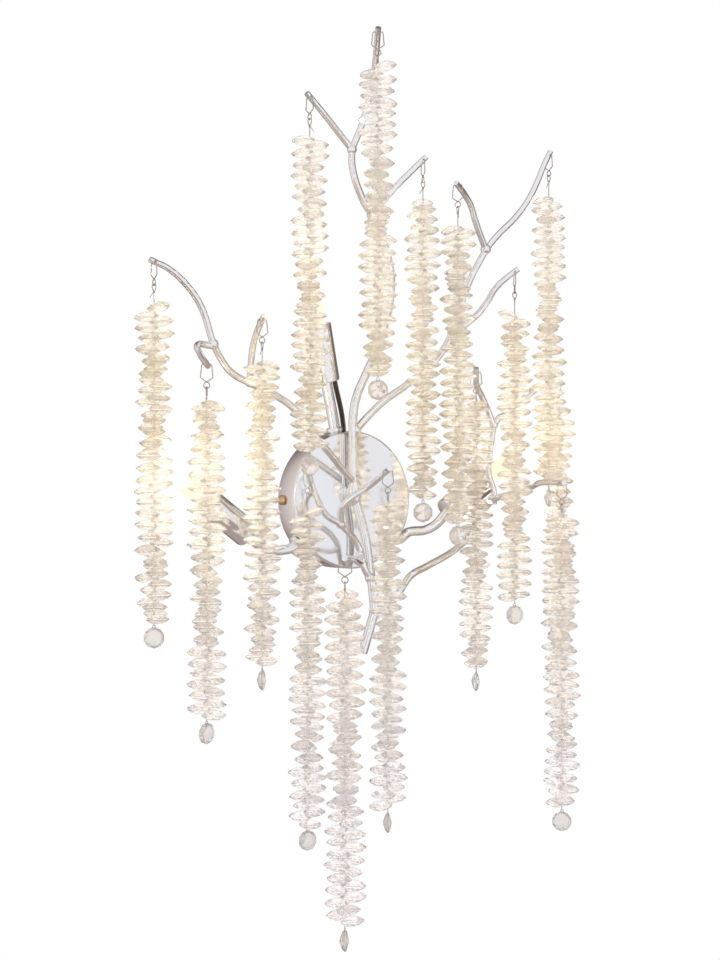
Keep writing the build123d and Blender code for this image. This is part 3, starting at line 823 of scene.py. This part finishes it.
class SCONCE_OT_lamps(bpy.types.Operator):
    """The lamp arms with their collars, cups, holders and capsule lamps"""
    bl_idname = "sconce.lamps"
    bl_label = "Lamps"

    def arm(self, name, arm_width):
        width = arm_width * (TOP_ARM_WIDER if name == "top" else 1)
        return swept(arm_places(name), width, steps=8, sides=6)

    def collars(self, name):
        """The round collar outside the canopy and the nut inside it."""
        out, wall = rim_place(LAMPS[name][0], ARM_FROM_WALL)
        outer, outer_end = (wall + out * reach * MM for reach in COLLAR_OUTSIDE)
        inner, inner_end = (wall + out * reach * MM for reach in COLLAR_INSIDE)
        return [bar(outer, outer_end, COLLAR_WIDTH * MM, 48, COLLAR_ROUNDING * MM),
                bar(inner, inner_end, COLLAR_WIDTH * MM, NUT_SIDES, NUT_ROUNDING * MM)]

    def cup(self, width):
        cup = upright_bar((0, CUP_LENGTH), width, 64)
        faces_near(cup, lambda face: face.center.z > CUP_LENGTH * MM - CLOSE)
        bpy.ops.mesh.inset(thickness=CUP_WALL * MM)
        inward = (0, 0, (CUP_FLOOR - CUP_LENGTH) * MM)
        bpy.ops.mesh.extrude_region_move(TRANSFORM_OT_translate={"value": inward})
        bpy.ops.object.mode_set(mode="OBJECT")
        return smooth(rounded(cup, CUP_ROUNDING * MM, 3, 60), 30)

    def holder(self):
        low, high = (mm(0, 0, end) for end in HOLDER_ENDS)
        return smooth(bar(low, high, HOLDER_WIDTH * MM, 48, HOLDER_ROUNDING * MM), 40)

    def lamp(self, width):
        lamp = upright_bar(LAMP_ENDS, width, 48)
        stepped(lamp, 1, LAMP_DOME)
        return smooth(lamp, 50)

    # A near-black tube from inside the top of the canopy to beside the top lamp's cup.
    def sleeve(self):
        out, wall = rim_place(DARK_STRIP_ANGLE, DARK_STRIP_FROM_WALL)
        run = [wall - out * ARM_PAST_RIM * MM, wall + out * DARK_STRIP_PAST_RIM * MM, at(DARK_STRIP_END)]
        return smooth(swept(run, DARK_STRIP_WIDTH * MM, steps=6))

    def execute(self, context):
        sizes = context.scene.sconce_sizes
        arms = []
        collars = []
        for name in LAMPS:
            arms.append(self.arm(name, sizes.arm_width))
            collars += self.collars(name)
        arm_tubes = smooth(joined(arms, "lamp_arm_tubes"))
        dressed(arm_tubes, "lamp_arm_tubes", finish("chrome"), "fixture", ("lamp_arms",))
        arm_collars = smooth(joined(collars, "arm_collars"), 30)
        dressed(arm_collars, "arm_collars", finish("chrome"), "fixture", ("arm_nuts",))
        groups = (
            (self.cup(sizes.cup_width), "cup_shells", "chrome", "lamp_cups", "chrome"),
            (self.holder(), "holder_blocks", "ceramic", "lampholders", "ceramic"),
            (self.lamp(sizes.bulb_width), "capsule_lamps", "lamp", "bulbs", "lamp_glass"),
        )
        for first, name, look, node, slot in groups:
            copies = [copied(first, cup_frame(lamp)) for lamp in LAMPS]
            dropped(first)
            dressed(joined(copies, name), name, finish(look), "fixture", (node,))
        # The near-black tube beside the top arm.
        dressed(self.sleeve(), "dark_strip_tube", finish("sleeve"), "fixture", ("lead_sleeve",))
        return {"FINISHED"}


class SCONCE_OT_clips(bpy.types.Operator):
    """The bent wire clips in the twigs' holes, each with its ring"""
    bl_idname = "sconce.clips"
    bl_label = "Clips"

    def clip(self, wire):
        left_side = [(-x, z) for x, z in reversed(CLIP_RIGHT_SIDE)]
        points = [mm(x, 0, z) for x, z in CLIP_RIGHT_SIDE + left_side]
        loop = swept(points, wire, closed=True, steps=3, sides=2, straight=True)
        eye = ring(RING_WIDTH * MM, wire)
        eye.location = mm(0, 0, RING_MIDDLE)
        return smooth(joined([loop, eye], "clip_first"), 60)

    def execute(self, context):
        first = self.clip(context.scene.sconce_sizes.wire_width)
        for number in TWIGS:
            name = "wire_clip_" + number
            clip = joined([copied(first, hole_frame(number))], name)
            dressed(clip, name, finish("wire"), "clip_" + number, ("clip_" + number,))
        dropped(first)
        return {"FINISHED"}


class SCONCE_OT_wires(bpy.types.Operator):
    """The strands' wires: an eye on the clip's ring, a twist with its tail, and the core"""
    bl_idname = "sconce.wires"
    bl_label = "Wires"

    def twist(self, wire):
        turns = [index * TWIST_PACE for index in range(TWIST_POINTS)]
        points = [mm(TWIST_RADIUS * math.cos(turn), TWIST_RADIUS * math.sin(turn),
                     CORE_TOP - turn * TWIST_DROP) for turn in turns]
        return swept(points, wire * CORE_SHARE, steps=3, sides=2)

    def tail(self, wire, first_turn):
        turn = math.radians(first_turn * TAIL_TURN_PACE + TAIL_TURN_START)
        points = [mm(away * math.cos(turn), away * math.sin(turn), z) for away, z in TAIL]
        return swept(points, wire * TAIL_SHARE, steps=4, sides=2)

    def execute(self, context):
        wire = context.scene.sconce_sizes.wire_width
        for number, (_, drop, first_turn, _) in TWIGS.items():
            name = "strand_wire_" + number
            eye = swept([mm(0, x, z) for x, z in EYE_LOOP], wire, closed=True, steps=4, sides=2)
            knot = self.twist(wire)
            end = -drop - beads_length(number) - CORE_PAST_BEADS
            core = bar(mm(0, 0, CORE_TOP), mm(0, 0, end), wire * CORE_SHARE, 8)
            curl = self.tail(wire, first_turn)
            whole = moved(smooth(joined([eye, knot, core, curl], name), 60), hole_frame(number))
            dressed(whole, name, finish("wire"), "strand_" + number, ("wire_" + number,))
        return {"FINISHED"}


def bead_pitch():
    nest = BEAD_OFFSET / BEAD_RADIUS * math.sin(LEAST_TURN / 2)
    return BEAD_THICKNESS * (1 - nest) + BEAD_CLEARANCE


def bead_count(number):
    return ODD_BEAD_COUNTS.get(number, BEAD_COUNT)


def beads_length(number):
    return (bead_count(number) - 1) * bead_pitch() + BEAD_THICKNESS


def bead_turn(index, first_turn):
    """Beads hang to alternate sides, and wander from their side down the strand."""
    wander = sum(reach * math.sin(index * pace + first_turn) for reach, pace in WANDER)
    return first_turn + 180 * (index % 2) + wander


def bead_place(index, drop, first_turn):
    """A bead's place below the hole, turned to its side, leaned, and a little larger or smaller."""
    height = -drop - BEAD_THICKNESS / 2 - index * bead_pitch()
    turn = Matrix.Rotation(math.radians(bead_turn(index, first_turn)), 4, "Z")
    lean = BEAD_TILT * math.sin(index * TILT_PACE + first_turn)
    if index == 0:
        lean *= FIRST_BEAD_LEAN
    tilt = Matrix.Rotation(lean, 4, "Y")
    offset = Matrix.Translation(mm(BEAD_OFFSET, 0, 0))
    size = Matrix.Scale(1 + BEAD_VARIATION * math.sin(index * VARIATION_PACE + first_turn), 4)
    spin = Matrix.Rotation(index * SPIN_PACE, 4, "Z")
    return Matrix.Translation(mm(0, 0, height)) @ turn @ tilt @ offset @ size @ spin


class SCONCE_OT_crystals(bpy.types.Operator):
    """The strands of faceted beads, each with its cut drop"""
    bl_idname = "sconce.crystals"
    bl_label = "Crystals"

    def girdle(self, width, depth_mm):
        bpy.ops.object.select_all(action="DESELECT")
        bpy.ops.mesh.primitive_cylinder_add(vertices=CUT_SIDES, radius=width / 2,
                                            depth=depth_mm * MM)
        return bpy.context.object

    def bead(self, sizes):
        bead = self.girdle(sizes.bead_width, BEAD_GIRDLE)
        rise = (sizes.bead_thickness / MM - BEAD_GIRDLE) / 2
        for side in (-1, 1):
            stepped(bead, side, [(rise * share, ratio) for share, ratio in BEAD_STEPS], CUT_TWIST)
        return bead

    def pendant(self, sizes):
        """The cut drop, standing on edge, and its eye."""
        drop = self.girdle(sizes.pendant_width, PENDANT_GIRDLE)
        stepped(drop, 1, PENDANT_FRONT, CUT_TWIST)
        stepped(drop, -1, PENDANT_BACK, CUT_TWIST)
        eye = ring(PENDANT_EYE_WIDTH * MM, PENDANT_EYE_WIRE * MM, 16)
        eye.location = mm(0, 0, PENDANT_EYE_ABOVE)
        return moved(drop, Matrix.Rotation(math.pi / 2, 4, "X")), eye

    def execute(self, context):
        sizes = context.scene.sconce_sizes
        bead = self.bead(sizes)
        pendant, eye = self.pendant(sizes)
        for number, (places, drop, first_turn, pendant_turn) in TWIGS.items():
            body = "strand_" + number
            tip = Matrix.Translation(at(places[-1]))
            copies = [copied(bead, tip @ bead_place(index, drop, first_turn))
                      for index in range(bead_count(number))]
            name = "bead_strand_" + number
            dressed(joined(copies, name), name, finish("crystal"), body, ("crystals_" + number,))
            low = Matrix.Translation(mm(0, 0, -drop - beads_length(number) - PENDANT_BELOW_BEADS))
            here = tip @ low @ Matrix.Rotation(math.radians(pendant_turn), 4, "Z")
            name = "pendant_" + number
            dressed(joined([copied(pendant, here)], name), name, finish("pendant"), body)
            name = "pendant_eye_" + number
            dressed(joined([copied(eye, here)], name), name, finish("wire"), body)
        for first in (bead, pendant, eye):
            dropped(first)
        return {"FINISHED"}


class SCONCE_OT_stage(bpy.types.Operator):
    """The white room, the plain soft light and the camera"""
    bl_idname = "sconce.stage"
    bl_label = "Stage"

    def background(self, tree, colour=(1, 1, 1), strength=1.0):
        light = tree.nodes.new("ShaderNodeBackground")
        light.inputs["Color"].default_value = (*colour, 1)
        light.inputs["Strength"].default_value = strength
        return light

    def ramp(self, tree, fac, stops, strength=1.0):
        """A background whose colour follows a value through these (position, r, g, b) stops."""
        ramp = tree.nodes.new("ShaderNodeValToRGB")
        light = self.background(tree, strength=strength)
        elements = ramp.color_ramp.elements
        while len(elements) < len(stops):
            elements.new(0.5)
        for element, (position, *_) in zip(elements, stops):
            element.position = position
        for element, (_, *colour) in zip(elements, stops):
            element.color = (*colour, 1)
        tree.links.new(fac, ramp.inputs["Fac"])
        tree.links.new(ramp.outputs["Color"], light.inputs["Color"])
        return light.outputs[0]

    def world(self, scene):
        """White to the camera; a room with darker stretches for polished metal and for glass."""
        world = bpy.data.worlds.new("Studio")
        scene.world = world
        world.use_nodes = True
        tree = world.node_tree
        tree.nodes.clear()
        link = tree.links.new

        def math_node(operation, first, second=None):
            node = tree.nodes.new("ShaderNodeMath")
            node.operation = operation
            for socket, value in zip(node.inputs, (first, second)):
                if isinstance(value, (int, float)):
                    socket.default_value = value
                elif value is not None:
                    link(value, socket)
            return node.outputs[0]

        def mixed(share, first, second):
            mix = tree.nodes.new("ShaderNodeMixShader")
            link(share, mix.inputs["Fac"])
            link(first, mix.inputs[1])
            link(second, mix.inputs[2])
            return mix.outputs[0]

        rays = tree.nodes.new("ShaderNodeLightPath")
        where = tree.nodes.new("ShaderNodeTexCoord")
        turned = tree.nodes.new("ShaderNodeMapping")
        turned.vector_type = "VECTOR"
        turned.inputs["Rotation"].default_value = (0, 0, CAMERA_TURN)
        split = tree.nodes.new("ShaderNodeSeparateXYZ")
        link(where.outputs["Generated"], turned.inputs["Vector"])
        link(turned.outputs["Vector"], split.inputs[0])
        across, ahead, height = (split.outputs[axis] for axis in "XYZ")

        angle = math_node("ARCTAN2", across, ahead)
        round_share = math_node("ADD", math_node("DIVIDE", angle, 2 * math.pi), 0.5)
        away_share = math_node("DIVIDE", math_node("ARCCOSINE", ahead), math.pi)
        behind = math_node("MAXIMUM", math_node("SUBTRACT", ROOM_TOP_STARTS, ahead), 0.0)
        upward = math_node("MULTIPLY", math_node("MAXIMUM", height, 0.0), behind)
        below = math_node("SUBTRACT", math_node("MULTIPLY", height, -1.0), ROOM_LOW_STARTS)
        steep = math_node("MAXIMUM", math_node("MULTIPLY", below, ROOM_LOW_SLOPE), 0.0)
        downward = math_node("MINIMUM", steep, 1.0)

        in_metal = self.ramp(tree, round_share, ROOM_ROUND)
        in_metal = mixed(upward, in_metal, self.background(tree, ROOM_TOP).outputs[0])
        in_metal = mixed(downward, in_metal, self.background(tree, ROOM_LOW).outputs[0])
        in_glass = self.ramp(tree, away_share, ROOM_AHEAD, GLASS_ROOM_LIGHT)
        soft = self.background(tree, SOFT_ROOM_COLOUR, SOFT_ROOM_LIGHT).outputs[0]
        white = self.background(tree).outputs[0]
        total = mixed(rays.outputs["Is Glossy Ray"], soft, in_metal)
        total = mixed(rays.outputs["Is Transmission Ray"], total, in_glass)
        total = mixed(rays.outputs["Is Camera Ray"], total, white)
        out = tree.nodes.new("ShaderNodeOutputWorld")
        link(total, out.inputs["Surface"])

    def soft_light(self, name, place, size, power):
        """A wide lamp that faces the sconce and doesn't show in polished metal."""
        bpy.ops.object.light_add(type="AREA", location=place)
        lamp = bpy.context.object
        lamp.name = name
        lamp.data.size = size
        lamp.data.energy = power
        lamp.visible_glossy = False
        lamp.rotation_euler = (-Vector(place)).to_track_quat("-Z", "Y").to_euler()

    def lamp_glow(self, name, colour):
        """The light of a capsule lamp, just past its end."""
        place = cup_frame(name) @ mm(0, 0, GLOW_ABOVE_BASE)
        bpy.ops.object.light_add(type="POINT", radius=GLOW_RADIUS, location=place)
        glow = bpy.context.object
        glow.name = "glow_" + name
        glow.data.energy = GLOW_POWER
        glow.data.color = colour

    def camera(self, scene):
        bpy.ops.object.camera_add(location=CAMERA_PLACE, rotation=(math.pi / 2, 0, -CAMERA_TURN))
        camera = bpy.context.object
        camera.name = "photo_camera"
        camera.data.lens = CAMERA_LENS
        camera.data.sensor_width = SENSOR_WIDTH
        camera.data.clip_start = CAMERA_NEAR
        scene.camera = camera

    def execute(self, context):
        scene = context.scene
        self.world(scene)
        for settings in SOFT_LIGHTS:
            self.soft_light(*settings)
        for name in LAMPS:
            self.lamp_glow(name, scene.sconce_colours.lamp_glow)
        self.camera(scene)
        scene.view_settings.view_transform = "Standard"
        return {"FINISHED"}


class SCONCE_PT_panel(bpy.types.Panel):
    bl_idname = "SCONCE_PT_panel"
    bl_label = "Sconce"
    bl_space_type = "VIEW_3D"
    bl_region_type = "UI"
    bl_category = "Sconce"

    def draw(self, context):
        for operator in OPERATORS:
            self.layout.operator(operator.bl_idname)
        for group in (context.scene.sconce_sizes, context.scene.sconce_colours):
            for name in group.__annotations__:
                self.layout.prop(group, name)


OPERATORS = (SCONCE_OT_canopy, SCONCE_OT_branches, SCONCE_OT_fitting, SCONCE_OT_lamps,
             SCONCE_OT_clips, SCONCE_OT_wires, SCONCE_OT_crystals, SCONCE_OT_stage)
CLASSES = (SconceSizes, SconceColours, *OPERATORS, SCONCE_PT_panel)


def register():
    for item in CLASSES:
        bpy.utils.register_class(item)
    bpy.types.Scene.sconce_sizes = bpy.props.PointerProperty(type=SconceSizes)
    bpy.types.Scene.sconce_colours = bpy.props.PointerProperty(type=SconceColours)


def unregister():
    del bpy.types.Scene.sconce_colours
    del bpy.types.Scene.sconce_sizes
    for item in reversed(CLASSES):
        bpy.utils.unregister_class(item)


def main():
    register()
    bpy.ops.sconce.canopy()
    bpy.ops.sconce.branches()
    bpy.ops.sconce.fitting()
    bpy.ops.sconce.lamps()
    bpy.ops.sconce.clips()
    bpy.ops.sconce.wires()
    bpy.ops.sconce.crystals()
    bpy.ops.sconce.stage()


if __name__ == "__main__":
    main()
